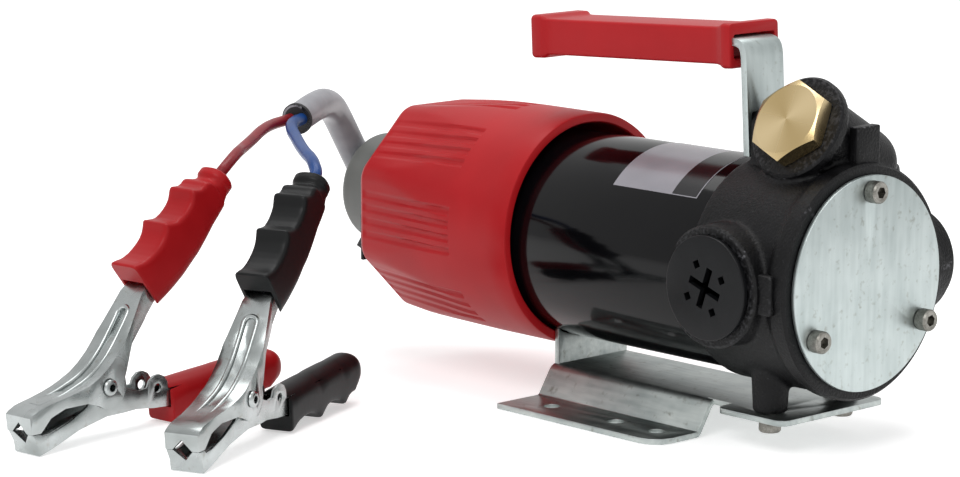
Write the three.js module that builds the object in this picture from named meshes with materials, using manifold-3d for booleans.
// Portable 12 V vane transfer pump: cast head, motor tube, red rear cover, carrying handle, folded base
// and a short supply lead with two battery clamps.
// Millimetres, +Z up, +X along the shaft towards the front plate, floor at Z = 0, visible port on -Y.
import * as THREE from 'three';
import { mergeVertices } from 'three/addons/utils/BufferGeometryUtils.js';
import Module from 'manifold-3d';

const wasm = await Module();
wasm.setup();

// Fits and faceting
const clearance = 0.3;      // gap between two pieces that seat on or run in each other
const overrun = 3;          // how far a cutting tool runs past the face that it cuts
const weld = 0.0005;        // vertices closer together than this are one vertex
const fineSides = 32;       // sides of the large turned pieces
const innerSides = 16;      // motor and pump pieces inside the castings
const midSides = 16;
const smallSides = 10;
const holeSides = 24;      // screw holes of the feet
const springSides = 5;
const springSteps = 8;      // steps of one turn of a spring
const arcSteps = 3;         // steps of a quarter turn in an outline

// Overall
const axisHeight = 65;      // shaft above the floor
const plateThickness = 2;   // front plate, whose outer face is the pump's X = 0
const plateRadius = 41;

// Cast head
const headRadius = 43.5;
const rimRadius = 45;
const rimDepth = 8;
const headRear = -53;       // where the motor tube begins
const rimRound = 1.5;
const spigotLength = 5;
const spigotWall = 5;
const cavityRadius = 25;
const cavityDepth = 18;
const eccentricity = 2.2;   // shaft centre below the cavity's centre
const portX = -35.5;        // port centre along the shaft
const portFace = 49;        // port boss face from the shaft's plane
const portBossRadius = 23.2;
const portBoreRadius = 15;
const portBoreDepth = 20;
const portEdge = 1;         // chamfer round the boss
const passageRadius = 5;
const passageOffset = 18.5;
const sealPocketRadius = 11;
const sealPocketDepth = 7;
const sealWall = 5;         // cast wall between the cavity and the seal pocket
const bearingPocketRadius = 14;
const bearingPocketDepth = 9.5;
const registerRadius = 26;  // open recess behind the front bearing
const padX = -13.5;         // small raised pad on the side of the head, between port and rim
const padLength = 7;
const padHeight = 15;
const padRise = 3.6;
const lugX = -7;            // upright lug on top, over the rim
const lugY = 4;
const lugWidth = 13;
const lugDepth = 4.5;
const lugTop = 123.6;
const postX = -30;          // cast feet that stand on the base
const postY = 20.5;
const postRadius = 6.6;
const postFlare = 1.4;
const farPortX = -25;       // the far port sits further forward and stands out more
const farPortFace = 53.5;
const farBossRadius = 21.8;
const galleryRadius = 10.5; // cast channel from the far port up to the valve housing
const galleryY = 33;
const galleryLow = 20;      // its ends, above the shaft
const galleryHigh = 38;

// Bypass valve housing across the top of the head
const valveX = -26;
const valveTilt = 30;       // degrees, near end higher
const valveFaceY = -12.8;   // centre of the housing's near face
const valveFaceZ = 122.9;
const valveBossRadius = 20.7;
const valveBossLength = 5;
const valveRadius = 17;     // cast body behind the boss
const valveLength = 48;
const valveRound = 8;       // far end of the body
const valveBore = 10.5;
const valveBoreLength = 38;
const seatBore = 6;
const seatAt = 30;          // depth of the valve seat from the near face
const strapPadHeight = 23;  // cast pad behind the housing that carries the handle

// Brass plug, poppet and spring of the bypass valve
const hexAcross = 29;
const hexHeight = 6.6;
const hexChamfer = 1.6;
const hexTurn = 8;          // degrees
const plugThread = 14;
const plugHollow = 6.5;
const poppetRadius = 8.5;
const poppetHead = 3;
const poppetStem = 3;
const poppetStemLength = 9;
const valveSpringRadius = 5.2;
const valveSpringWire = 1.4;
const valveSpringTurns = 4;

// Port plugs
const plugDiscRadius = 19.8;
const plugDiscThickness = 3;
const plugSleeveRadius = 14.5;
const plugSleeveWall = 2;
const plugSleeveLength = 12;
const crossLength = 16;
const crossWidth = 2.6;
const crossTurn = -19.5;    // degrees
const keyHole = 2.8;
const keyHoleRadius = 9.5;

// Socket-head cap screws
const screwHeadRadius = 4.25;
const screwHeadHeight = 5;
const screwShankRadius = 2.5;
const screwSocket = 4;
const screwSocketDepth = 2.6;
const plateScrewCircle = 35;
const plateScrewLength = 12;
const baseScrewLength = 14;
const flatHeadRadius = 4.4; // countersunk screws of the strap
const flatHeadDepth = 1.9;
const flatSocket = 3;
const flatSocketDepth = 1.4;
const strapScrewLength = 12;
const strapScrewSpacing = 10.6;

// Pump rotor, vanes and seals
const rotorRadius = 22.5;
const vaneCount = 5;
const vaneThickness = 3;
const vaneLength = 11;
const sealRingRadius = 29.6;
const sealRingSection = 1.5;
const shaftRadius = 6;
const sealLength = 6.4;
const bearingWidth = 8;
const bearingOuter = 13.7;
const rearBearingOuter = 11;
const rearBearingWidth = 7;
const rearShaftRadius = 4;
const raceWall = 2.2;
const raceStep = 1;

// Motor
const tubeRadius = 41.5;
const tubeWall = 2;
const tubeLength = 143;
const magnetWall = 6.5;
const magnetFrontRoom = 23.7; // from the tube's front end to the magnets
const brushRoom = 53.3;     // from the magnets to the tube's rear end
const magnetSpan = 130;     // degrees of arc
const coreRadius = 31.5;
const coreShort = 8;        // core shorter than the magnets
const slotCount = 8;
const slotWidth = 7;
const slotDepth = 11;
const slotMouth = 2.4;
const windingOverhang = 9;
const commutatorRadius = 14;
const commutatorLength = 17;
const commutatorRoom = 36.3; // from the commutator's front end to the tube's rear end
const commutatorBars = 8;
const commutatorSlot = 0.8;
const brushWidth = 6;
const brushLength = 14;
const holderThickness = 3;
const holderBore = 19;
const bellThickness = 6;
const bellSpigot = 5;

// Red rear cover
const coverFront = -149;
const coverRear = -243.5;
const coverRise = 1.6;      // cover's axis above the shaft
const coverRadius = 47.5;
const coverRearRadius = 46.6;
const coverWall = 3.2;
const coverFlatRear = 42.6; // distance from the axis to a flat at the rear edge
const coverFlatStart = -186;
const coverFlats = 8;
const coverRearBore = 39;
const coverBoreEnd = -206;
const coverRound = 3;
const coverGrooves = 4;     // on each flat
const grooveWidth = 2;
const groovePitch = 5;
const grooveDepth = 1;
const grooveFront = -184;
const grooveRear = -237;

// Grey end cap and angled cord outlet
const capRadius = 23.6;
const capCentre = 4;        // above the shaft
const capRear = -279;
const capRound = 5;
const capWall = 2.5;
const capFlange = 27.5;
const capFlangeThickness = 2.5;
const elbowRadius = 8;
const elbowBore = 3.6;
const elbowReach = 13;
const elbowFoot = 10.5;

// Rocker switch in the cover's rear wall
const switchY = -33.2;
const switchZ = 55.5;
const switchWidth = 11;
const switchHeight = 17;
const switchDepth = 12;
const bezelMargin = 1.2;
const bezelThickness = 1.6;
const rockerSide = 1.4;
const rockerProud = 8;
const rockerLow = 1.2;
const rockerCrest = 1.4;    // its middle, beyond its low end
const rockerPivot = 1;      // behind the inner face of the bezel
const rockerTailShare = 0.55;
const rockerTipShare = 0.7; // height of the tip that stands out

// Carrying handle
const strapNear = -12.5;    // edges of the strap, across the pump
const strapFar = 8.3;
const strapThickness = 3;
const strapBend = 7;
const strapFoot = 108.5;    // lower end of the strap
const handleTop = 153.5;    // upper face of the strap at its bend
const handleSlope = 2.8;    // degrees, the free end is lower
const gripFront = -62;
const gripLength = 105;
const gripWidth = 25;
const gripHeight = 14.5;
const gripCollar = 5;
const gripCollarRise = 1.5;
const gripAboveStrap = 4.2;
const strapInGrip = 92;
const gripWall = 2;         // beside the strap's tongue

// Folded base
const sheet = 2.2;
const trayTop = 14;
const trayHalf = 20;
const footHalf = 51.5;
const footInner = 27.5;
const footRear = -148.5;
const footFront = -60;
const bendRadius = 3;
const plateBackX = -50;
const plateFrontX = -15.5;
const plateHalf = 29.5;
const plateCorner = 4;
const footCorner = 9;
const footHoleRadius = 3.3;
const footHoleY = 39;
const footHoleX = [-130, -94, -72];
const tabHalf = 19.5;
const tabTop = 29;
const baseScrewHole = 2.8;

// Cord: grey sheath, two single leads
const sheathDiameter = 12.5;
const redLeadDiameter = 4.6;
const blueLeadDiameter = 5;
const sheathRoute = [
  [-287.4, -0.4, 71.2], [-287.4, -4.2, 78.2], [-287.4, -8.1, 85], [-287.1, -12.8, 92.8], [-285.6, -18, 99.8],
  [-281.6, -25, 105.6], [-275.9, -34, 108.6], [-270, -44.2, 108.4], [-265.6, -53, 107], [-262.4, -60, 105.6],
];
const redRoute = [
  [-264.6, -62, 105.6], [-263.2, -66, 105.4], [-259.8, -74.4, 105.2], [-252.5, -86.2, 104.6],
  [-244.4, -98.1, 102.7], [-236.8, -109.2, 101.1], [-230, -117.8, 100.4],
];
const blueRoute = [
  [-259.2, -60.2, 105.8], [-257, -64.6, 105.8], [-253, -70, 105.4], [-246, -75.9, 104.4],
  [-234, -83.4, 102.6], [-220, -91.4, 101.1], [-208.4, -97.2, 100.6], [-199.8, -100.8, 100.8],
];

// Battery clamps: S along the clamp from the jaw's lower front corner, Z up, width across
const clampPlaces = [
  { name: 'red', x: -213.1, y: -232.9, turn: 96, colour: 0xb01c22 },
  { name: 'black', x: -150.4, y: -205.5, turn: 112.5, colour: 0x222425 },
];
const clampSheet = 1.2;
const jawTaper = 8;         // the nose widens from here
const pivotTaper = 9;       // to here, ahead of and behind the pivot
const jawHalf = 7;          // half width at the nose
const upperHalf = 8.7;      // half width of the upper jaw where it straddles the lower one
const handleHalf = 5.3;     // half width where the handles enter the grips
const pivotS = 34.4;
const pivotZ = 21;
const pivotRadius = 2.4;
const rivetHead = 4;
const rivetHeadThickness = 1;
const rivetBore = 1.3;
const lobeRadius = 8.4;
const lowerLobeRadius = 4.9;
const earS = 62.3;
const earZ = 15.6;
const earRadius = 5.4;
const earHole = 1.9;
const jawGapZ = 8.6;        // where the two noses meet
const toothHalf = 3;        // half of the square opening between the noses
const spineGroove = 5;
const spineGrooveDepth = 0.6;
const upperHandleS = 54;
const upperHandleZ = 54;
const upperHandleTurn = 43; // degrees
const upperHandleLength = 44;
const upperHandleDepth = 7.5;
const lowerHandleLength = 112;
const lowerHandleRise = 3;  // degrees
const gripMouthS = 57;
const gripMouthZ = 57.2;
const upperGripTurn = 38;   // degrees
const lowerGripS = 69.5;
const lowerGripZ = 11.2;
const lowerRoomHeight = 8;   // room for the lower handle inside its grip
const gripHalf = 7.4;
const gripEdge = 2.6;
const gripReach = 57.4;
const gripDepth = 11.8;      // from the grip's line to its back, and to its ridges
const lowerGripReach = 63;
const lowerGripDepth = 11.4;
const leadEntry = [4, 2, 0.5]; // last points of a lead, ahead of the grip's end face
const leadHeight = 1.5;
const torsionRadius = 3.6;
const torsionWire = 1.2;
const torsionTurns = 3;     // whole turns, beside the part turn between the legs
const torsionGap = 0.5;     // between two turns
const torsionUpper = 44;    // degrees, direction of the upper leg
const torsionUpperLeg = 20.5;
const torsionLower = -17;   // degrees
const torsionLowerLeg = 15;

const degrees = Math.PI / 180;
const headFront = -plateThickness - clearance;
const spigotRadius = tubeRadius - tubeWall - clearance;

// Geometry helpers

// Closed mesh to solid: shared vertices merged, empty triangles dropped, faces turned outwards
function solidOf(geometry) {
  const bare = geometry.clone();
  bare.deleteAttribute('normal');
  bare.deleteAttribute('uv');
  const merged = mergeVertices(bare, weld);
  const points = Float32Array.from(merged.attributes.position.array);
  const corners = merged.index.array;
  const a = new THREE.Vector3();
  const b = new THREE.Vector3();
  const c = new THREE.Vector3();
  const kept = [];
  let volume = 0;
  for (let i = 0; i < corners.length; i += 3) {
    const [p, q, r] = [corners[i], corners[i + 1], corners[i + 2]];
    if (p === q || q === r || r === p) continue;
    kept.push([p, q, r]);
    a.fromArray(points, p * 3);
    b.fromArray(points, q * 3);
    c.fromArray(points, r * 3);
    volume += a.dot(b.cross(c));
  }
  const order = volume < 0 ? kept.map(([p, q, r]) => [p, r, q]) : kept;
  return new wasm.Manifold(new wasm.Mesh({
    numProp: 3, vertProperties: points, triVerts: Uint32Array.from(order.flat()),
  }));
}

const asSolid = (shape) => (shape.isBufferGeometry ? solidOf(shape) : shape);
const join = (...shapes) => shapes.map(asSolid).reduce((sum, next) => sum.add(next));
const cut = (shape, ...tools) => tools.map(asSolid).reduce((rest, tool) => rest.subtract(tool), asSolid(shape));
const common = (one, other) => asSolid(one).intersect(asSolid(other));

function geometryOf(solid) {
  const mesh = solid.getMesh();
  const geometry = new THREE.BufferGeometry();
  geometry.setAttribute('position', new THREE.BufferAttribute(Float32Array.from(mesh.vertProperties), 3));
  geometry.setIndex(new THREE.BufferAttribute(Uint32Array.from(mesh.triVerts), 1));
  return geometry;
}

// Profile of [along X, radius] turned about the X axis; it closes on itself or starts and ends on the axis
function turned(profile, sides = fineSides) {
  const closed = profile[0][1] > 0 ? [...profile, profile[0]] : profile;
  const points = closed.map(([along, radius]) => new THREE.Vector2(radius, along));
  return new THREE.LatheGeometry(points, sides).rotateZ(-Math.PI / 2);
}

const barX = (from, to, radius, sides = midSides) => turned([[from, 0], [from, radius], [to, radius], [to, 0]], sides);
const ringX = (from, to, inner, outer, sides = midSides) => (
  turned([[from, inner], [to, inner], [to, outer], [from, outer]], sides));
const barY = (from, to, radius, sides = midSides) => barX(from, to, radius, sides).rotateZ(Math.PI / 2);
const barZ = (from, to, radius, sides = midSides) => barX(from, to, radius, sides).rotateY(-Math.PI / 2);

// Round bar between two points
function bar(from, to, radius, sides = smallSides) {
  const start = new THREE.Vector3(...from);
  const way = new THREE.Vector3(...to).sub(start);
  const turn = new THREE.Quaternion().setFromUnitVectors(new THREE.Vector3(1, 0, 0), way.clone().normalize());
  return barX(0, way.length(), radius, sides).applyQuaternion(turn).translate(...from);
}

function block(x, y, z) {
  const size = [x, y, z].map(([low, high]) => high - low);
  const middle = [x, y, z].map(([low, high]) => (low + high) / 2);
  return new THREE.BoxGeometry(...size).translate(...middle);
}

const shapeOf = (outline) => new THREE.Shape(outline.map(([a, b]) => new THREE.Vector2(a, b)));

// Outline in X and Y extruded upwards from Z = from to Z = to
function slab(outline, from, to) {
  return new THREE.ExtrudeGeometry(shapeOf(outline), { depth: to - from, bevelEnabled: false }).translate(0, 0, from);
}

// Outline in X and Z extruded across, from Y = -half to Y = +half
function across(outline, half) {
  const geometry = new THREE.ExtrudeGeometry(shapeOf(outline), { depth: 2 * half, bevelEnabled: false });
  return geometry.rotateX(Math.PI / 2).translate(0, half, 0);
}

// Outline in Y and Z extruded along X
function along(outline, from, to) {
  const geometry = new THREE.ExtrudeGeometry(shapeOf(outline), { depth: to - from, bevelEnabled: false });
  return geometry.rotateX(Math.PI / 2).rotateZ(Math.PI / 2).translate(from, 0, 0);
}

// Points of an arc, angles in degrees
function arc(centreA, centreB, radius, from, to, steps = arcSteps) {
  return Array.from({ length: steps + 1 }, (_, i) => {
    const angle = (from + ((to - from) * i) / steps) * degrees;
    return [centreA + radius * Math.cos(angle), centreB + radius * Math.sin(angle)];
  });
}

// Open path with its corners rounded
function rounded(path, radius, steps = arcSteps) {
  const corners = path.map(([a, b]) => new THREE.Vector2(a, b));
  const result = [path[0]];
  for (let i = 1; i < corners.length - 1; i += 1) {
    const before = corners[i - 1].clone().sub(corners[i]).normalize();
    const after = corners[i + 1].clone().sub(corners[i]).normalize();
    const half = Math.acos(THREE.MathUtils.clamp(before.dot(after), -1, 1)) / 2;
    const reach = radius / Math.tan(half);
    const start = corners[i].clone().addScaledVector(before, reach);
    const end = corners[i].clone().addScaledVector(after, reach);
    const bend = new THREE.QuadraticBezierCurve(start, corners[i], end);
    bend.getPoints(steps).forEach((point) => result.push([point.x, point.y]));
  }
  return [...result, path[path.length - 1]];
}

// The path moved sideways, to its left, by a distance
function offset(path, distance) {
  const points = path.map(([a, b]) => new THREE.Vector2(a, b));
  return points.map((point, i) => {
    const before = i > 0 ? point.clone().sub(points[i - 1]).normalize() : null;
    const after = i < points.length - 1 ? points[i + 1].clone().sub(point).normalize() : null;
    const first = before ?? after;
    const second = after ?? before;
    const normal = new THREE.Vector2(-(first.y + second.y), first.x + second.x).normalize();
    const stretch = distance / Math.max(normal.dot(new THREE.Vector2(-first.y, first.x)), 0.3);
    return [point.x + normal.x * stretch, point.y + normal.y * stretch];
  });
}

// Outline of bent sheet: the path and its offset, closed
const bentSheet = (path, thickness) => [...path, ...offset(path, thickness).reverse()];

// Tube along a smooth route, its section a polygon
function tubeAlong(route, diameter, sides, steps) {
  const curve = new THREE.CatmullRomCurve3(route.map((point) => new THREE.Vector3(...point)), false, 'centripetal');
  const section = shapeOf(arc(0, 0, diameter / 2, 0, 360 - 360 / sides, sides - 1));
  return new THREE.ExtrudeGeometry(section, { steps, extrudePath: curve, bevelEnabled: false });
}

const mirroredY = (geometry) => {
  const copy = geometry.clone();
  return copy.applyMatrix4(new THREE.Matrix4().makeScale(1, -1, 1));
};

// Materials
const finish = (color, roughness, metalness) => new THREE.MeshStandardMaterial({ color, roughness, metalness });
const castBlack = finish(0x232326, 0.75, 0.3);
const glossBlack = finish(0x1a1a1d, 0.2, 0.2);
const plasticBlack = finish(0x222326, 0.55, 0);
const zinc = finish(0xc5cdd0, 0.35, 0.9);
const brass = finish(0xb99a63, 0.3, 0.95);
const redPlastic = finish(0xb8282d, 0.45, 0);
const greyPlastic = finish(0x70726f, 0.5, 0);
const sheathGrey = finish(0xa9a9ac, 0.6, 0);
const redWire = finish(0x9e2a35, 0.5, 0);
const blueWire = finish(0x2f62a8, 0.5, 0);
const steel = finish(0xb8bcbd, 0.3, 0.9);
const iron = finish(0x6a6a6c, 0.5, 0.8);
const ferrite = finish(0x3a3a3c, 0.8, 0.1);
const copper = finish(0xb0703c, 0.35, 0.9);
const carbon = finish(0x2c2c2e, 0.7, 0.2);
const rubber = finish(0x1c1c1c, 0.85, 0);
const vaneResin = finish(0x5b4a38, 0.6, 0);

// Scene graph: the object stands on the floor with its middle at the origin
const object = new THREE.Group();
const frontmost = clearance + screwHeadHeight;
object.position.x = -(capRear + frontmost) / 2;
object.position.y = (portFace - farPortFace) / 2;
const shaftLine = new THREE.Group();
shaftLine.position.z = axisHeight;
object.add(shaftLine);

function add(parent, name, shape, material) {
  const mesh = new THREE.Mesh(geometryOf(asSolid(shape)), material);
  mesh.name = name;
  parent.add(mesh);
  return mesh;
}

// A direction and a point along the bypass valve: X of its group runs outwards, to the near side
const valveGroup = new THREE.Group();
valveGroup.position.set(valveX, valveFaceY, valveFaceZ - axisHeight);
valveGroup.rotation.set(0, 0, -Math.PI / 2);
valveGroup.rotateOnAxis(new THREE.Vector3(0, 1, 0), -valveTilt * degrees);
shaftLine.add(valveGroup);
valveGroup.updateMatrix();
const intoValve = (geometry) => geometry.applyMatrix4(valveGroup.matrix);

// Cast pump head with rotor cavity, ports, valve housing and feet
function pumpHead() {
  const rear = headRear;
  const outside = turned([
    [headFront, 0], [headFront, rimRadius - rimRound], [headFront - rimRound, rimRadius],
    [headFront - rimDepth, rimRadius], [headFront - rimDepth - rimRound, headRadius],
    [rear, headRadius], [rear, spigotRadius], [rear - spigotLength, spigotRadius], [rear - spigotLength, 0],
  ]);
  const nearBoss = barY(-portFace, 0, portBossRadius, midSides).translate(portX, 0, 0);
  const farBoss = barY(0, farPortFace, farBossRadius, midSides).translate(farPortX, 0, 0);
  const tubeSeat = barX(rear - portBossRadius, rear, tubeRadius + clearance, fineSides);
  const spigot = barX(rear - spigotLength, rear + overrun, spigotRadius, fineSides);
  const ports = join(cut(join(nearBoss, farBoss), tubeSeat), spigot);

  const valveBoss = turned([
    [0, 0], [0, valveBossRadius - rimRound], [-rimRound, valveBossRadius], [-valveBossLength, valveBossRadius],
    [-valveBossLength, 0],
  ], midSides);
  const valveBody = turned([
    [-rimRound, 0], [-rimRound, valveRadius], [valveRound - valveLength, valveRadius],
    ...arc(valveRound - valveLength, valveRadius - valveRound, valveRound, 90, 180), [-valveLength, 0],
  ], midSides);
  const housing = join(intoValve(valveBoss), intoValve(valveBody));
  const padBack = headRear + strapThickness + clearance;
  const padZ = strapScrewZ() - axisHeight;
  const ahead = intoValve(block([0, valveLength], [-valveLength, valveLength], [-valveLength, valveLength]));
  const strapPad = cut(block(
    [padBack, valveX], [strapNear, strapFar],
    [padZ - strapPadHeight / 2, padZ + strapPadHeight / 2],
  ), ahead);
  const lug = block(
    [lugX - lugDepth / 2, lugX + lugDepth / 2], [lugY - lugWidth / 2, lugY + lugWidth / 2],
    [headRadius - overrun, lugTop - axisHeight],
  );
  const gallery = bar([farPortX, galleryY, galleryLow], [valveX, galleryY - eccentricity, galleryHigh], galleryRadius);
  const sidePad = block(
    [padX - padLength / 2, padX + padLength / 2], [-headRadius - padRise, -headRadius + overrun],
    [-padHeight / 2, padHeight / 2],
  );
  const post = turned([
    [trayTop + clearance - axisHeight, 0], [trayTop + clearance - axisHeight, postRadius],
    [postY - headRadius, postRadius + postFlare], [-postRadius, postRadius + postFlare], [-postRadius, 0],
  ], smallSides).rotateY(-Math.PI / 2);
  const posts = [-postY, postY].map((y) => post.clone().translate(postX, y, 0));
  let casting = join(outside, ports, housing, strapPad, lug, gallery, sidePad, ...posts);

  // What the drills and cores take out
  const cavityBack = headFront - cavityDepth;
  const sealFront = cavityBack - sealWall;
  const bearingFront = sealFront - sealPocketDepth;
  const registerFront = bearingFront - bearingPocketDepth;
  casting = cut(
    casting,
    barX(cavityBack, headFront + overrun, cavityRadius, fineSides).translate(0, 0, eccentricity),
    barX(registerFront - overrun, cavityBack + overrun, shaftRadius + clearance),
    barX(registerFront - overrun, sealFront, sealPocketRadius),
    barX(registerFront - overrun, bearingFront, bearingPocketRadius),
    barX(rear - spigotLength - overrun, registerFront, registerRadius, innerSides),
    barX(rear - spigotLength - overrun, rear, spigotRadius - spigotWall, innerSides),
    sealRingGroove(),
  );
  [
    { x: portX, face: portFace, outer: portBossRadius, side: -1 },
    { x: farPortX, face: farPortFace, outer: farBossRadius, side: 1 },
  ].forEach(({ x, face, outer, side }) => {
    const bore = barY(face - portBoreDepth, face + overrun, portBoreRadius).translate(x, 0, 0);
    const chamfer = turned([
      [face - portEdge, outer + overrun], [face - portEdge, outer], [face, outer - portEdge],
      [face + overrun, outer - portEdge], [face + overrun, outer + overrun],
    ], midSides).rotateZ(Math.PI / 2).translate(x, 0, 0);
    const inlet = bar([x, face - portBoreDepth + overrun, 0], [x, passageOffset, 0], passageRadius);
    const channel = bar([x, passageOffset, 0], [cavityBack + overrun, passageOffset, 0], passageRadius);
    [bore, chamfer, inlet, channel].forEach((tool) => {
      casting = cut(casting, side < 0 ? mirroredY(tool) : tool);
    });
  });
  plateScrewPlaces().forEach(([y, z]) => {
    casting = cut(casting, barX(headFront - plateScrewLength, headFront + overrun, screwShankRadius + clearance,
      smallSides).translate(0, y, z));
  });
  [-postY, postY].forEach((y) => {
    const floor = trayTop - axisHeight;
    casting = cut(casting, barZ(floor - overrun, floor + baseScrewLength, screwShankRadius + clearance,
      smallSides).translate(postX, y, 0));
  });
  strapScrewPlaces().forEach((y) => {
    casting = cut(casting, barX(padBack - overrun, padBack + strapScrewLength, screwShankRadius + clearance,
      smallSides).translate(0, y, padZ));
  });
  return cut(
    casting,
    intoValve(barX(-seatAt, overrun, valveBore)),
    intoValve(barX(-valveBoreLength, -seatAt + overrun, seatBore)),
  );
}

const strapScrewZ = () => strapFoot + strapPadHeight / 2 - overrun;
const strapScrewPlaces = () => [-1, 1].map((side) => (strapNear + strapFar + side * strapScrewSpacing) / 2);
const plateScrewPlaces = () => [0, 1, 2].map((i) => {
  const angle = (90 + 120 * i) * degrees;
  return [plateScrewCircle * Math.cos(angle), plateScrewCircle * Math.sin(angle)];
});

function sealRingGroove() {
  const half = sealRingSection / 2 + clearance;
  const floor = headFront - sealRingSection - clearance;
  return ringX(floor, headFront + overrun, sealRingRadius - half, sealRingRadius + half, innerSides);
}

function sealRing() {
  const centre = headFront - sealRingSection / 2;
  return turned(arc(centre, sealRingRadius, sealRingSection / 2, 0, 300, 5), innerSides);
}

function frontPlate() {
  const disc = turned([
    [-plateThickness, 0], [-plateThickness, plateRadius], [-clearance, plateRadius],
    [0, plateRadius - clearance], [0, 0],
  ]);
  return plateScrewPlaces().reduce((plate, [y, z]) => cut(plate, barX(
    -plateThickness - overrun, overrun, screwShankRadius + clearance, smallSides).translate(0, y, z)), asSolid(disc));
}

// Socket-head cap screw along X: its head stands from X = 0 to +screwHeadHeight, its shank points to -X
function capScrew(length) {
  const body = turned([
    [-length, 0], [-length, screwShankRadius], [0, screwShankRadius], [0, screwHeadRadius],
    [screwHeadHeight - clearance, screwHeadRadius], [screwHeadHeight, screwHeadRadius - clearance],
    [screwHeadHeight, 0],
  ], smallSides);
  const socket = barX(screwHeadHeight - screwSocketDepth, screwHeadHeight + overrun,
    screwSocket / Math.sqrt(3), 6);
  return cut(body, socket);
}

// Countersunk screw along X: its head is flush with X = 0, its shank points to -X
function flatScrew(length) {
  const body = turned([
    [-length, 0], [-length, screwShankRadius], [-flatHeadDepth, screwShankRadius], [0, flatHeadRadius], [0, 0],
  ], smallSides);
  return cut(body, barX(-flatSocketDepth, overrun, flatSocket / Math.sqrt(3), 6));
}

// Turned slotted rotor; the slots run through from end to end
function pumpRotor() {
  const front = headFront - clearance;
  const rear = headFront - cavityDepth + clearance;
  let rotor = asSolid(ringX(rear, front, shaftRadius + clearance, rotorRadius, innerSides));
  for (let i = 0; i < vaneCount; i += 1) {
    const slot = block(
      [rear - overrun, front + overrun], [-vaneThickness / 2 - clearance, vaneThickness / 2 + clearance],
      [rotorRadius - vaneLength - 2 * clearance, rotorRadius + overrun],
    ).rotateX((i * 2 * Math.PI) / vaneCount);
    rotor = cut(rotor, slot);
  }
  return rotor;
}

function vane() {
  const front = headFront - clearance;
  const rear = headFront - cavityDepth + clearance;
  const top = rotorRadius - clearance;
  const body = block([rear, front], [-vaneThickness / 2, vaneThickness / 2], [top - vaneLength, top]);
  const tip = barX(rear - overrun, front + overrun, rotorRadius - clearance, innerSides);
  return common(body, tip);
}

// Stepped shaft of the pump and the motor, with a key flat under the rotor
function shaft() {
  const rearSeat = tubeEnd() + bellSpigot + overrun;
  return turned([
    [headFront - clearance, 0], [headFront - clearance, shaftRadius - clearance],
    [headFront - 2 * clearance, shaftRadius], [rearSeat + rearBearingWidth, shaftRadius],
    [rearSeat + rearBearingWidth, rearShaftRadius], [rearSeat - clearance, rearShaftRadius],
    [rearSeat - clearance, 0],
  ], midSides);
}

const tubeEnd = () => headRear - clearance - tubeLength;
const magnetFront = () => headRear - clearance - magnetFrontRoom;
const magnetLength = () => tubeLength - magnetFrontRoom - brushRoom;
const commutatorFront = () => tubeEnd() + commutatorRoom;

function shaftSeal() {
  const front = headFront - cavityDepth - sealWall - clearance;
  const outer = sealPocketRadius - clearance;
  const inner = shaftRadius + clearance;
  const lip = (outer - inner) / 3;
  return turned([
    [front, inner + lip], [front, outer], [front - sealLength, outer], [front - sealLength, outer - lip],
    [front - lip, outer - lip], [front - lip, inner + lip], [front - sealLength / 2, inner],
    [front - sealLength / 3, inner],
  ], midSides);
}

// Ball bearing with its two races and closed shield drawn as one turned ring with stepped faces
function bearing(front, width, outer, inner) {
  const rear = front - width;
  return turned([
    [front, inner], [front, inner + raceWall], [front - raceStep, inner + raceWall],
    [front - raceStep, outer - raceWall], [front, outer - raceWall], [front, outer],
    [rear, outer], [rear, outer - raceWall], [rear + raceStep, outer - raceWall],
    [rear + raceStep, inner + raceWall], [rear, inner + raceWall], [rear, inner],
  ], midSides);
}

// Brass hexagon plug, chamfered outside, with a hollow thread that holds the spring
function bypassPlug() {
  const corner = hexAcross / Math.sqrt(3);
  const face = clearance + hexHeight;
  const hex = barX(clearance, face, corner, 6).rotateX(hexTurn * degrees);
  const chamfer = turned([
    [clearance, 0], [clearance, corner], [face - hexChamfer, corner], [face, hexAcross / 2 - clearance], [face, 0],
  ], midSides);
  const thread = barX(-plugThread, clearance + overrun, valveBore - clearance);
  const hollow = barX(-plugThread - overrun, -overrun, plugHollow);
  return cut(join(common(hex, chamfer), thread), hollow);
}

function bypassPoppet() {
  const seat = clearance - seatAt;
  return turned([
    [seat, 0], [seat, seatBore - clearance], [seat + poppetHead / 2, poppetRadius], [seat + poppetHead, poppetRadius],
    [seat + poppetHead, poppetStem], [seat + poppetHead + poppetStemLength, poppetStem],
    [seat + poppetHead + poppetStemLength, 0],
  ], midSides);
}

function helixPoints(from, to, radius, turns) {
  const count = turns * springSteps;
  return Array.from({ length: count + 1 }, (_, i) => {
    const angle = (i / springSteps) * 2 * Math.PI;
    return [from + ((to - from) * i) / count, radius * Math.cos(angle), radius * Math.sin(angle)];
  });
}

// Least gap of a wound tube to itself: between its points that lie more than half a turn apart
function leastGap(name, points, wire, stepsApart) {
  let least = Infinity;
  points.forEach((point, i) => points.slice(i + stepsApart).forEach((other) => {
    least = Math.min(least, Math.hypot(...point.map((value, axis) => value - other[axis])));
  }));
  console.log(`${name}: least gap to itself ${(least - wire).toFixed(2)} mm`);
}

function bypassSpring() {
  const rear = clearance - seatAt + poppetHead + valveSpringWire;
  const front = -overrun - valveSpringWire;
  const points = helixPoints(rear, front, valveSpringRadius, valveSpringTurns);
  leastGap('bypass_spring', points, valveSpringWire, springSteps / 2);
  return tubeAlong(points, valveSpringWire, springSides, valveSpringTurns * springSteps);
}

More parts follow.
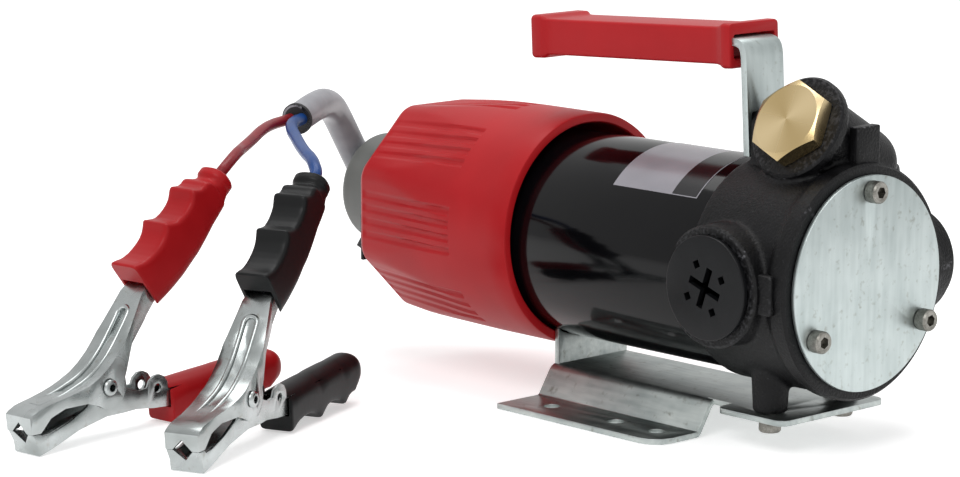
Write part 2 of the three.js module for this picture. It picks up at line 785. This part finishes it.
// Transport plug of a port, on +Y: disc with crossed slot and four key holes, and a hollow sleeve
function portPlug(face) {
  const outer = face + clearance;
  const disc = turned([
    [outer, 0], [outer, plugDiscRadius], [outer + plugDiscThickness - clearance, plugDiscRadius],
    [outer + plugDiscThickness, plugDiscRadius - clearance * 2], [outer + plugDiscThickness, 0],
  ], midSides);
  const sleeve = ringX(outer - plugSleeveLength, outer + plugDiscThickness / 2,
    plugSleeveRadius - plugSleeveWall, plugSleeveRadius);
  let plug = join(disc, sleeve);
  const through = [outer - overrun, outer + plugDiscThickness + overrun];
  const turn = crossTurn * degrees;
  [0, Math.PI / 2].forEach((quarter) => {
    const slot = block(through, [-crossWidth / 2, crossWidth / 2], [-crossLength / 2, crossLength / 2]);
    plug = cut(plug, slot.rotateX(turn + quarter));
  });
  for (let i = 0; i < 4; i += 1) {
    const hole = block(through, [-keyHole / 2, keyHole / 2], [keyHoleRadius - keyHole / 2, keyHoleRadius + keyHole / 2]);
    plug = cut(plug, hole.rotateX(turn + Math.PI / 4 + (i * Math.PI) / 2));
  }
  return plug;
}

function motorTube() {
  return ringX(tubeEnd(), headRear - clearance, tubeRadius - tubeWall, tubeRadius, fineSides);
}

// Arc-shaped magnet, centred on +Y
function magnet() {
  const outer = tubeRadius - tubeWall - clearance;
  const rear = magnetFront() - magnetLength();
  const ring = ringX(rear, magnetFront(), outer - magnetWall, outer, fineSides);
  const half = (magnetSpan / 2) * degrees;
  const wedge = shapeOf([
    [0, 0], [2 * outer * Math.cos(half), -2 * outer * Math.sin(half)], [3 * outer, 0],
    [2 * outer * Math.cos(half), 2 * outer * Math.sin(half)],
  ]);
  const depth = magnetLength() + 2 * overrun;
  const tool = new THREE.ExtrudeGeometry(wedge, { depth, bevelEnabled: false })
    .rotateX(Math.PI / 2).rotateZ(Math.PI / 2).translate(rear - overrun, 0, 0);
  return common(ring, tool);
}

const coreFront = () => magnetFront() - coreShort / 2;
const coreRear = () => magnetFront() - magnetLength() + coreShort / 2;
const slotOuter = () => coreRadius - slotMouth;

function armatureCore() {
  let core = asSolid(ringX(coreRear(), coreFront(), shaftRadius + clearance, coreRadius, innerSides));
  const through = [coreRear() - overrun, coreFront() + overrun];
  for (let i = 0; i < slotCount; i += 1) {
    const turn = (i * 2 * Math.PI) / slotCount;
    const slot = block(through, [-slotWidth / 2, slotWidth / 2], [slotOuter() - slotDepth, slotOuter()]);
    const mouth = block(through, [-slotMouth / 2, slotMouth / 2], [slotOuter() - overrun, coreRadius + overrun]);
    core = cut(core, slot.rotateX(turn), mouth.rotateX(turn));
  }
  return core;
}

// Copper winding: a bar through each slot, joined by rounded end turns
function winding() {
  const inner = slotOuter() - slotDepth + clearance;
  const outer = slotOuter() - clearance;
  const front = coreFront() + clearance;
  const rear = coreRear() - clearance;
  const endTurn = (from, to) => turned([
    [from, inner], [from, outer], [(from + to) / 2, outer], [to, outer - (outer - inner) / 3], [to, inner],
  ], innerSides);
  let coil = join(endTurn(front, front + windingOverhang), endTurn(rear, rear - windingOverhang));
  for (let i = 0; i < slotCount; i += 1) {
    const conductor = block([rear - overrun, front + overrun], [-slotWidth / 2 + clearance, slotWidth / 2 - clearance],
      [inner, outer]);
    coil = join(coil, conductor.rotateX((i * 2 * Math.PI) / slotCount));
  }
  return coil;
}

function commutator() {
  const front = commutatorFront();
  const rear = front - commutatorLength;
  let ring = asSolid(ringX(rear, front, shaftRadius + clearance, commutatorRadius, innerSides));
  for (let i = 0; i < commutatorBars; i += 1) {
    const slot = block([rear - overrun, front - overrun], [-commutatorSlot / 2, commutatorSlot / 2],
      [commutatorRadius - commutatorSlot, commutatorRadius + overrun]);
    ring = cut(ring, slot.rotateX((i * 2 * Math.PI) / commutatorBars));
  }
  return ring;
}

const brushMiddle = () => commutatorFront() - commutatorLength / 2;

function brush() {
  const half = brushWidth / 2;
  const body = block([brushMiddle() - half, brushMiddle() + half],
    [commutatorRadius - overrun, commutatorRadius + brushLength], [-half, half]);
  return cut(body, barX(brushMiddle() - commutatorLength, brushMiddle() + commutatorLength,
    commutatorRadius + clearance, fineSides));
}

// Plastic ring behind the brushes, with a guide box round each brush
function brushHolder() {
  const half = brushWidth / 2 + clearance;
  const wall = holderThickness;
  const plateFront = brushMiddle() - half - clearance;
  const plateRear = plateFront - holderThickness;
  const outer = tubeRadius - tubeWall - clearance;
  let holder = asSolid(ringX(plateRear, plateFront, holderBore, outer, fineSides));
  [0, Math.PI].forEach((turn) => {
    const box = block([plateRear, brushMiddle() + half + wall / 2],
      [holderBore, commutatorRadius + brushLength + wall], [-half - wall / 2, half + wall / 2]);
    const guide = block([plateFront + clearance, brushMiddle() + half],
      [holderBore - overrun, commutatorRadius + brushLength + clearance], [-half, half]);
    holder = cut(join(holder, box.rotateX(turn)), guide.rotateX(turn));
  });
  return holder;
}

function rearBell() {
  const seat = tubeEnd() - clearance;
  const spigot = tubeRadius - tubeWall - clearance;
  const pocketFront = tubeEnd() + bellSpigot + overrun + rearBearingWidth + clearance;
  const bearingBoss = rearBearingOuter + holderThickness;
  const body = turned([
    [seat - bellThickness, 0], [seat - bellThickness, spigot - overrun], [seat - overrun, tubeRadius],
    [seat, tubeRadius], [seat, spigot], [seat + bellSpigot, spigot], [seat + bellSpigot, spigot - spigotWall],
    [seat, spigot - spigotWall], [seat, bearingBoss], [pocketFront, bearingBoss], [pocketFront, 0],
  ]);
  const pocket = barX(tubeEnd() + bellSpigot + overrun - clearance, pocketFront + overrun, rearBearingOuter + clearance);
  const shaftHole = barX(seat - overrun, pocketFront, rearShaftRadius + 2 * clearance);
  return cut(body, pocket, shaftHole);
}

// Red cover: turned shell, eight slanted flats with shallow lengthwise grooves, rear wall with two openings
function rearCover() {
  const shell = turned([
    [coverFront, coverRadius - coverWall], [coverFront, coverRadius], [coverFlatStart, coverRadius],
    [coverRear + coverRound, coverRearRadius], [coverRear, coverRearRadius - coverRound],
    [coverRear, 0], [coverRear + coverWall, 0], [coverRear + coverWall, coverRearBore],
    [coverBoreEnd, coverRadius - coverWall],
  ], fineSides);
  let cover = asSolid(shell);
  const rise = coverRadius - coverFlatRear;
  const run = coverFlatStart - coverRear;
  const slant = Math.atan2(rise, run);
  const grooveSpread = (coverGrooves - 1) / 2;
  for (let i = 0; i < coverFlats; i += 1) {
    const turn = (i * 2 * Math.PI) / coverFlats;
    const plane = block([-2 * run, run], [-coverRadius, coverRadius], [0, coverRadius])
      .rotateY(-slant).translate(coverRear, 0, coverFlatRear).rotateX(turn);
    cover = cut(cover, plane);
    for (let g = 0; g < coverGrooves; g += 1) {
      const y = (g - grooveSpread) * groovePitch;
      const length = grooveFront - grooveRear;
      const groove = block([0, length], [y - grooveWidth / 2, y + grooveWidth / 2], [0, coverRadius / 2])
        .rotateY(Math.atan2(grooveDepth, length) - slant)
        .translate(grooveRear, 0, coverFlatRear + (rise * (grooveRear - coverRear)) / run).rotateX(turn);
      cover = cut(cover, groove);
    }
  }
  const capHole = barX(coverRear - overrun, coverRear + coverWall + overrun, capRadius + clearance, fineSides)
    .translate(0, 0, capCentre - coverRise);
  const switchHole = block([coverRear - overrun, coverRear + switchDepth + overrun],
    [switchY - switchWidth / 2 - clearance, switchY + switchWidth / 2 + clearance],
    [-switchHeight / 2 - clearance, switchHeight / 2 + clearance]).translate(0, 0, switchZ - axisHeight - coverRise);
  return cut(cover, capHole, switchHole);
}

// Grey cap: thin cup with a rounded rear edge, held by a flange inside the cover's rear wall
function endCap() {
  const flangeRear = coverRear + coverWall + clearance;
  const flangeFront = flangeRear + capFlangeThickness;
  const cup = turned([
    [flangeFront, capRadius - capWall], [flangeFront, capFlange], [flangeRear, capFlange], [flangeRear, capRadius],
    ...arc(capRear + capRound, capRadius - capRound, capRound, 90, 180), [capRear, 0], [capRear + capWall, 0],
    [capRear + capWall, capRadius - capWall - capRound / 2], [capRear + capWall + capRound / 2, capRadius - capWall],
  ]);
  const corner = elbowCorner();
  const cordHole = barX(capRear - overrun, capRear + capWall + overrun, elbowBore + 2 * clearance)
    .translate(0, corner.y, corner.z - axisHeight - capCentre);
  return cut(cup, cordHole);
}

// The strain relief's outlet, the sheath's first direction, and the corner where its two legs meet
const sheathStart = () => new THREE.Vector3(...sheathRoute[0]);
const sheathWay = () => new THREE.Vector3(...sheathRoute[1]).sub(sheathStart()).normalize();
const elbowOutlet = () => sheathStart().addScaledVector(sheathWay(), -clearance);
const elbowCorner = () => elbowOutlet().addScaledVector(sheathWay(), -elbowReach);

// Angled strain relief behind the cap, pointing up and to the near side
function cordElbow() {
  const outlet = elbowOutlet();
  const corner = elbowCorner();
  const neck = bar([capRear - clearance, corner.y, corner.z], corner.toArray(), elbowRadius);
  const foot = barX(capRear - clearance - capWall, capRear - clearance, elbowFoot, midSides)
    .translate(0, corner.y, corner.z);
  const knee = new THREE.SphereGeometry(elbowRadius, smallSides, smallSides / 2).translate(...corner.toArray());
  const spout = bar(corner.toArray(), outlet.toArray(), elbowRadius);
  const spigotIn = bar([capRear - clearance - overrun, corner.y, corner.z],
    [capRear + 2 * capWall, corner.y, corner.z], elbowBore);
  return join(neck, foot, knee, spout, spigotIn);
}

function switchBody() {
  const y = [switchY - switchWidth / 2, switchY + switchWidth / 2];
  const z = [switchZ - switchHeight / 2 - axisHeight, switchZ + switchHeight / 2 - axisHeight];
  const grow = ([low, high], by) => [low - by, high + by];
  const rear = coverRear - clearance;
  const body = block([rear - bezelThickness, rear + switchDepth], y, z);
  const bezel = block([rear - bezelThickness, rear], grow(y, bezelMargin), grow(z, bezelMargin));
  const well = block([rear - bezelThickness - overrun, rear + switchDepth - overrun],
    grow(y, -rockerSide), grow(z, -rockerSide));
  return cut(join(body, bezel), well);
}

// Rocker, turning about its own origin; at rest its lower half stands out
function switchRocker() {
  const half = switchHeight / 2 - rockerSide - clearance;
  const width = switchWidth / 2 - rockerSide - clearance;
  const rim = rockerPivot - bezelThickness - clearance;
  const tail = [rockerProud / 2, half * rockerTailShare];
  return across([
    tail, [rim, half], [rim - rockerLow, half], [rim - rockerLow - rockerCrest, 0],
    [rockerPivot - rockerProud, -half * rockerTipShare], [rim, -half], [tail[0], -tail[1]],
  ], width);
}

// Carrying handle: bent steel strap and moulded grip
function strapPath() {
  const slope = handleSlope * degrees;
  const front = headRear + strapThickness;
  const tip = gripFront - strapInGrip;
  const drop = (front - tip) * Math.tan(slope);
  return rounded([[front, strapFoot], [front, handleTop], [tip, handleTop - drop]], strapBend, 2 * arcSteps);
}

// The strap narrows to a tongue inside the grip, on its near edge
const tongueNear = () => gripWall + clearance - gripWidth / 2;

function handleStrap() {
  const tip = gripFront - strapInGrip;
  const shoulder = gripFront + 2 * clearance;
  const plan = slab([
    [tip - overrun, tongueNear()], [shoulder, tongueNear()], [shoulder, strapNear],
    [headRear + 2 * strapThickness, strapNear], [headRear + 2 * strapThickness, strapFar],
    [tip - overrun, strapFar],
  ], 0, 2 * handleTop);
  let strap = common(across(bentSheet(strapPath(), strapThickness), -2 * strapNear), plan);
  const shank = screwShankRadius + clearance;
  const sink = turned([
    [-overrun, 0], [-overrun, flatHeadRadius + clearance], [0, flatHeadRadius + clearance], [flatHeadDepth, shank],
    [strapThickness + overrun, shank], [strapThickness + overrun, 0],
  ], smallSides);
  strapScrewPlaces().forEach((y) => {
    strap = cut(strap, sink.clone().translate(headRear, y, strapScrewZ()));
  });
  return strap;
}

function handleGrip() {
  const section = (grow) => {
    const half = gripWidth / 2 + grow;
    const top = gripAboveStrap + grow;
    const low = gripAboveStrap - gripHeight - grow;
    const corner = 2;
    return [
      ...arc(half - corner, top - corner, corner, 0, 90, 2), ...arc(corner - half, top - corner, corner, 90, 180, 2),
      ...arc(corner - half, low + corner, corner, 180, 270, 2), ...arc(half - corner, low + corner, corner, 270, 360, 2),
    ];
  };
  const body = along(section(0), -gripLength, 0);
  const front = along(section(gripCollarRise), -gripCollar, 0);
  const rear = along(section(gripCollarRise), -gripLength, gripCollar - gripLength);
  const slot = block([-strapInGrip - overrun, overrun],
    [tongueNear() - clearance, strapFar + clearance], [-strapThickness - clearance, clearance]);
  const corner = handleTop - (headRear + strapThickness - gripFront) * Math.tan(handleSlope * degrees);
  const seat = new THREE.Matrix4().makeRotationY(-handleSlope * degrees).setPosition(gripFront, 0, corner);
  const widened = join(body, front, rear);
  return cut(widened, slot).transform(seat.elements);
}

// Folded base: two feet, sloping webs, tray, wide front plate and saddle tab
function baseBracket() {
  const half = rounded([
    [-footHalf, 0], [-footInner, 0], [-trayHalf, trayTop - sheet], [0, trayTop - sheet],
  ], bendRadius, 3);
  const full = [...half, ...half.slice(0, -1).reverse().map(([y, z]) => [-y, z])];
  const folded = along(bentSheet(full, sheet), footRear, footFront);
  const tray = block([footFront - overrun, plateBackX + overrun], [-trayHalf, trayHalf], [trayTop - sheet, trayTop]);
  const plateCorners = (x, turn) => arc(x[0], x[1], plateCorner, turn, turn + 90, 3);
  const nearY = plateHalf - plateCorner;
  const plate = slab([
    ...plateCorners([plateFrontX - plateCorner, nearY], 0), ...plateCorners([plateBackX + plateCorner, nearY], 90),
    ...plateCorners([plateBackX + plateCorner, -nearY], 180), ...plateCorners([plateFrontX - plateCorner, -nearY], 270),
  ], trayTop - sheet, trayTop);
  const tab = block([footRear, footRear + sheet], [-tabHalf, tabHalf], [trayTop - sheet, tabTop]);
  const saddle = barX(footRear - overrun, footRear + 2 * overrun, tubeRadius + clearance, fineSides)
    .translate(0, 0, axisHeight);
  let base = cut(join(folded, tray, plate, tab), saddle);
  footHoleX.forEach((x) => [-footHoleY, footHoleY].forEach((y) => {
    base = cut(base, barZ(-overrun, sheet + overrun, footHoleRadius, holeSides).translate(x, y, 0));
  }));
  [-postY, postY].forEach((y) => {
    base = cut(base, barZ(trayTop - 2 * sheet, trayTop + overrun, baseScrewHole, smallSides).translate(postX, y, 0));
  });
  [-1, 1].forEach((side) => {
    const corner = slab([
      [footFront + overrun, side * (footHalf - footCorner)], [footFront, side * (footHalf - footCorner)],
      ...arc(footFront - footCorner, side * (footHalf - footCorner), footCorner, 0, side * 90),
      [footFront - footCorner, side * (footHalf + overrun)], [footFront + overrun, side * (footHalf + overrun)],
    ], -overrun, sheet + overrun);
    base = cut(base, corner);
  });
  return base;
}

// Battery clamp, in its own S, across, Z frame

// Plan shape of a pressed part, from above: its half width at the nose, round the pivot and at the handle
function plan(nose, middle, inset) {
  const side = [
    [-pivotS, nose], [jawTaper, nose], [pivotS - pivotTaper, middle], [pivotS + pivotTaper, middle],
    [upperHandleS + overrun, handleHalf], [2 * lowerHandleLength, handleHalf],
  ].map(([s, half]) => [s, half - inset]);
  return slab([...side.map(([s, half]) => [s, -half]), ...side.reverse()], -lowerHandleLength, lowerHandleLength);
}

const pressed = (outline, shape) => common(across(outline, 2 * upperHalf), shape);

// Outline points given as shares of a length and a height
const scaled = (shares, length, height) => shares.map(([s, z]) => [s * length, z * height]);

// Spine of the upper jaw, in shares of the place where its handle starts
const spineShares = [
  [-0.08, 0.281], [0, 0.326], [0.185, 0.363], [0.352, 0.4], [0.537, 0.47], [0.704, 0.6], [0.852, 0.785], [1, 1],
];
const spineCurve = () => new THREE.SplineCurve(scaled(spineShares, upperHandleS, upperHandleZ)
  .map(([s, z]) => new THREE.Vector2(s, z))).getPoints(14).map(({ x, y }) => [x, y]);
const throatShares = [[1.028, 0.807], [0.87, 0.667], [0.826, 0.556]];
const upperMouthShares = [[0.433, 0.304], [0.241, 0.3], [0.111, 0.252], [0.037, 0.178]];
const upperNoseShare = -0.067;
const upperLipShare = 0.019;
const tipStart = 4;         // where the handle's lower edge leaves the throat

// Lower jaw, in shares of the pivot's place: its floor, the top of its arm and its mouth
const floorShares = [[-0.017, 0.19], [0, 0], [0.174, 0.076], [0.581, 0.314], [0.988, 0.448], [1.453, 0.448], [1.744, 0.381]];
const armShares = [[1.512, 0.781], [1.337, 0.876]];
const lowerMouthShares = [[0.7, 0.7], [0.456, 0.505], [0.183, 0.371], [0.058, 0.352]];
const lowerLipShare = 0.017;
const lowerNoseShare = -0.087;
const lowerHandleZ = 7.4;   // floor of the lower handle at the grip's mouth
const lowerHandleDepth = 6.6;

function handleTip(length, depth) {
  const turn = upperHandleTurn * degrees;
  const [ds, dz] = [Math.cos(turn), Math.sin(turn)];
  return [upperHandleS + ds * length + dz * depth, upperHandleZ + dz * length - ds * depth];
}

function upperJaw() {
  const spine = spineCurve();
  const lip = jawGapZ + clearance / 2;
  const nose = upperNoseShare * upperHandleS;
  const outer = [
    [nose, lip], ...spine, handleTip(upperHandleLength, 0),
    handleTip(upperHandleLength, upperHandleDepth), handleTip(tipStart, upperHandleDepth),
    ...scaled(throatShares, upperHandleS, upperHandleZ), ...arc(pivotS, pivotZ, lobeRadius, 20, -130, 8),
    ...scaled(upperMouthShares, upperHandleS, upperHandleZ), [upperLipShare * upperHandleS, lip],
  ];
  const under = offset(spine, -clampSheet);
  const inner = [
    [nose + clampSheet, -lobeRadius], ...under.slice(1), handleTip(upperHandleLength + overrun, clampSheet),
    handleTip(upperHandleLength + overrun, 3 * upperHandleDepth), [3 * pivotS, -lobeRadius],
  ];
  const body = pressed(outer, plan(jawHalf, upperHalf, 0));
  const hollow = pressed(inner, plan(jawHalf, upperHalf, clampSheet));
  const strip = offset(spine.slice(3, 14), -spineGrooveDepth);
  const groove = across([...strip, ...offset(strip, overrun).reverse()], spineGroove / 2);
  return clampNose(cut(body, hollow, groove, pivotHole()));
}

const pivotHole = () => barY(-2 * upperHalf, 2 * upperHalf, pivotRadius + clearance, smallSides)
  .translate(pivotS, 0, pivotZ);

// Square opening between the two noses
function clampNose(jaw) {
  const square = block([-3 * jawHalf, jawHalf / 3], [-toothHalf, toothHalf], [-toothHalf, toothHalf])
    .rotateX(Math.PI / 4).translate(0, 0, jawGapZ);
  return cut(jaw, square);
}

function lowerJaw() {
  const rise = Math.tan(lowerHandleRise * degrees);
  const tipZ = (s, depth) => lowerHandleZ + (s - lowerGripS) * rise + depth;
  const lip = jawGapZ - clearance / 2;
  const bottom = [...scaled(floorShares, pivotS, pivotZ), [lowerGripS, tipZ(lowerGripS, 0)]];
  const outer = [
    ...bottom, [lowerHandleLength, tipZ(lowerHandleLength, 0)],
    [lowerHandleLength, tipZ(lowerHandleLength, lowerHandleDepth)], [lowerGripS, tipZ(lowerGripS, lowerHandleDepth)],
    ...arc(earS, earZ, earRadius, -10, 170, 6), ...scaled(armShares, pivotS, pivotZ),
    ...arc(pivotS, pivotZ, lowerLobeRadius, 10, 170, 6), ...scaled(lowerMouthShares, pivotS, pivotZ),
    [lowerLipShare * pivotS, lip], [lowerNoseShare * pivotS, lip],
  ];
  const inner = [
    ...offset(bottom, clampSheet).map(([s, z], i) => (i < 1 ? [s, 3 * pivotZ] : [s, z])),
    [lowerHandleLength + overrun, tipZ(lowerHandleLength, clampSheet)], [lowerHandleLength + overrun, 3 * pivotZ],
  ];
  const body = pressed(outer, plan(jawHalf, jawHalf, 0));
  const hollow = pressed(inner, plan(jawHalf, jawHalf, clampSheet));
  const ear = barY(-2 * upperHalf, 2 * upperHalf, earHole, smallSides).translate(earS, 0, earZ);
  return clampNose(cut(body, hollow, pivotHole(), ear));
}

function pivotPin() {
  const outer = upperHalf + clearance;
  const head = outer + rivetHeadThickness;
  const pin = turned([
    [-head, rivetBore], [-head, rivetHead], [-outer, rivetHead], [-outer, pivotRadius], [outer, pivotRadius],
    [outer, rivetHead], [head, rivetHead], [head, rivetBore],
  ], smallSides).rotateZ(Math.PI / 2);
  return pin.translate(pivotS, 0, pivotZ);
}

// Torsion spring round the pin: a leg under the upper spine, the coil, a leg over the lower jaw's floor
function torsionSpring() {
  const turn = (torsionUpper - torsionLower + 180) / 360 + torsionTurns;
  const count = Math.ceil(turn * springSteps);
  const width = turn * (torsionWire + torsionGap);
  const around = (angle, y, ahead) => [
    pivotS - torsionRadius * Math.sin(angle) + ahead * Math.cos(angle), y,
    pivotZ + torsionRadius * Math.cos(angle) + ahead * Math.sin(angle),
  ];
  const upper = torsionUpper * degrees;
  const coil = Array.from({ length: count + 1 }, (_, i) => (
    around(upper + (i / count) * turn * 2 * Math.PI, (i / count - 1 / 2) * width, 0)));
  leastGap('clamp_spring', coil, torsionWire, springSteps / 2);
  const legs = [
    around(upper, -width / 2, torsionUpperLeg), around(upper, -width / 2, torsionUpperLeg / 2), ...coil,
    around(torsionLower * degrees, width / 2, torsionLowerLeg / 2),
    around(torsionLower * degrees, width / 2, torsionLowerLeg),
  ];
  return tubeAlong(legs, torsionWire, springSides, count + springSteps);
}

// Moulded grip with finger hollows, from its mouth (U = 0) to its end collar
const gripShares = [
  [1, -0.42], [0.91, -0.47], [0.65, -0.73], [0.47, -0.92], [0.28, -1], [0.12, -0.98], [-0.02, -0.92],
  [0.02, 0.93], [0.1, 0.79], [0.2, 0.7], [0.3, 0.79], [0.37, 1.01], [0.44, 0.82], [0.54, 0.73], [0.63, 0.82],
  [0.69, 0.99], [0.73, 0.83], [0.82, 0.82], [0.85, 0.61], [0.91, 0.56], [0.92, 0.65], [1, 0.65],
];

const lowerGripShares = [
  [1, -0.28], [0.97, -0.42], [0.9, -0.5], [0.7, -0.56], [0.45, -0.58], [0.2, -0.56], [-0.02, -0.55],
  ...gripShares.slice(7),
];

function moulded(outline, half, edge) {
  const geometry = new THREE.ExtrudeGeometry(shapeOf(outline), {
    depth: 2 * (half - edge), bevelEnabled: true, bevelSize: edge, bevelOffset: -edge, bevelThickness: edge,
    bevelSegments: 2,
  });
  return geometry.rotateX(Math.PI / 2).translate(0, half - edge, 0);
}

function gripPlace(s, z, turn) {
  return new THREE.Matrix4().makeRotationY(-turn * degrees).setPosition(s, 0, z);
}

function upperGrip() {
  const grip = moulded(scaled(gripShares, gripReach, gripDepth), gripHalf, gripEdge)
    .applyMatrix4(gripPlace(gripMouthS, gripMouthZ, upperGripTurn));
  const room = across([
    handleTip(-2 * overrun, -2 * clearance), handleTip(upperHandleLength + clearance, -2 * clearance),
    handleTip(upperHandleLength + clearance, upperHandleDepth + clearance),
    handleTip(-2 * overrun, upperHandleDepth + 2 * overrun),
  ], handleHalf + 2 * clearance);
  return cut(grip, room);
}

function lowerGrip() {
  const grip = moulded(scaled(lowerGripShares, lowerGripReach, lowerGripDepth), gripHalf, gripEdge)
    .applyMatrix4(new THREE.Matrix4().makeScale(1, 1, -1))
    .applyMatrix4(gripPlace(lowerGripS, lowerGripZ, lowerHandleRise));
  const rise = Math.tan(lowerHandleRise * degrees);
  const low = (s) => lowerHandleZ + (s - lowerGripS) * rise - 2 * clearance;
  const start = lowerGripS - 3 * overrun;
  const end = lowerHandleLength + clearance;
  const room = across([
    [start, low(start)], [end, low(end)], [end, low(end) + lowerRoomHeight], [start, low(start) + lowerRoomHeight],
  ], handleHalf + 2 * clearance);
  return cut(grip, room);
}

// The route led on into the end of a clamp's upper grip, square to its face
function intoGrip(route, place) {
  const ends = leadEntry.map((past) => new THREE.Vector3(gripReach + past, 0, leadHeight)
    .applyMatrix4(gripPlace(gripMouthS, gripMouthZ, upperGripTurn))
    .applyMatrix4(clampMatrix(place)).toArray());
  return [...route, ...ends];
}

const clampMatrix = (place) => new THREE.Matrix4().makeRotationZ(place.turn * degrees).setPosition(place.x, place.y, 0);

function clamp(place) {
  const group = new THREE.Group();
  group.position.set(place.x, place.y, 0);
  group.rotation.z = place.turn * degrees;
  object.add(group);
  const sleeve = finish(place.colour, 0.5, 0);
  add(group, `${place.name}_clamp_upper_jaw`, upperJaw(), steel);
  add(group, `${place.name}_clamp_lower_jaw`, lowerJaw(), steel);
  add(group, `${place.name}_clamp_pivot_pin`, pivotPin(), steel);
  add(group, `${place.name}_clamp_spring`, torsionSpring(), steel);
  add(group, `${place.name}_clamp_upper_grip`, upperGrip(), sleeve);
  add(group, `${place.name}_clamp_lower_grip`, lowerGrip(), sleeve);
}

// Assembly
add(shaftLine, 'pump_head', pumpHead(), castBlack);
add(shaftLine, 'front_plate', frontPlate(), zinc);
add(shaftLine, 'plate_seal_ring', sealRing(), rubber);
plateScrewPlaces().forEach(([y, z], i) => {
  const screw = add(shaftLine, `plate_screw_${i + 1}`, capScrew(plateScrewLength), steel);
  screw.position.set(clearance, y, z);
});

add(shaftLine, 'pump_rotor', pumpRotor(), iron);
for (let i = 0; i < vaneCount; i += 1) {
  const blade = add(shaftLine, `rotor_vane_${i + 1}`, vane(), vaneResin);
  blade.rotation.x = (i * 2 * Math.PI) / vaneCount;
}
add(shaftLine, 'motor_shaft', shaft(), steel);
add(shaftLine, 'shaft_seal', shaftSeal(), rubber);
const frontBearingAt = headFront - cavityDepth - sealWall - sealPocketDepth - clearance;
add(shaftLine, 'front_bearing', bearing(frontBearingAt, bearingWidth, bearingOuter, shaftRadius + clearance), steel);
const rearBearingAt = tubeEnd() + bellSpigot + overrun + rearBearingWidth;
add(shaftLine, 'rear_bearing',
  bearing(rearBearingAt, rearBearingWidth, rearBearingOuter, rearShaftRadius + clearance), steel);

add(valveGroup, 'bypass_plug', bypassPlug(), brass);
add(valveGroup, 'bypass_spring', bypassSpring(), steel);
add(valveGroup, 'bypass_poppet', bypassPoppet(), brass);

['far', 'near'].forEach((side, i) => {
  const plug = add(shaftLine, `port_plug_${side}`, portPlug(i === 0 ? farPortFace : portFace), plasticBlack);
  plug.position.x = i === 0 ? farPortX : portX;
  plug.rotation.z = (i === 0 ? 1 : -1) * (Math.PI / 2);
});

add(shaftLine, 'motor_tube', motorTube(), glossBlack);
['far', 'near'].forEach((side, i) => {
  const piece = add(shaftLine, `field_magnet_${side}`, magnet(), ferrite);
  piece.rotation.x = i * Math.PI;
});
add(shaftLine, 'armature_core', armatureCore(), iron);
add(shaftLine, 'armature_winding', winding(), copper);
add(shaftLine, 'commutator', commutator(), copper);
['far', 'near'].forEach((side, i) => {
  const piece = add(shaftLine, `brush_${side}`, brush(), carbon);
  piece.rotation.x = i * Math.PI;
});
add(shaftLine, 'brush_holder', brushHolder(), plasticBlack);
add(shaftLine, 'rear_end_bell', rearBell(), castBlack);

add(shaftLine, 'rear_cover', rearCover(), redPlastic).position.z = coverRise;
const cap = add(shaftLine, 'end_cap', endCap(), greyPlastic);
cap.position.z = capCentre;
add(object, 'cord_elbow', cordElbow(), rubber);
add(shaftLine, 'switch_body', switchBody(), plasticBlack);
const rocker = add(shaftLine, 'switch_rocker', switchRocker(), plasticBlack);
rocker.position.set(coverRear - clearance - rockerPivot, switchY, switchZ - axisHeight);

add(object, 'handle_strap', handleStrap(), zinc);
add(object, 'handle_grip', handleGrip(), redPlastic);
strapScrewPlaces().forEach((y, i) => {
  const screw = add(object, `strap_screw_${i + 1}`, flatScrew(strapThickness + strapScrewLength), steel);
  screw.position.set(headRear, y, strapScrewZ());
  screw.rotation.z = Math.PI;
});

add(object, 'base_bracket', baseBracket(), zinc);
['near', 'far'].forEach((side, i) => {
  const screw = add(object, `base_screw_${side}`, capScrew(baseScrewLength), steel);
  screw.position.set(postX, i === 0 ? -postY : postY, trayTop - sheet - clearance);
  screw.rotation.y = Math.PI / 2;
});

add(object, 'cord_sheath', tubeAlong(sheathRoute, sheathDiameter, 12, 12), sheathGrey);
add(object, 'lead_red', tubeAlong(intoGrip(redRoute, clampPlaces[0]), redLeadDiameter, 8, 18), redWire);
add(object, 'lead_blue', tubeAlong(intoGrip(blueRoute, clampPlaces[1]), blueLeadDiameter, 8, 20), blueWire);
clampPlaces.forEach(clamp);

export default object;
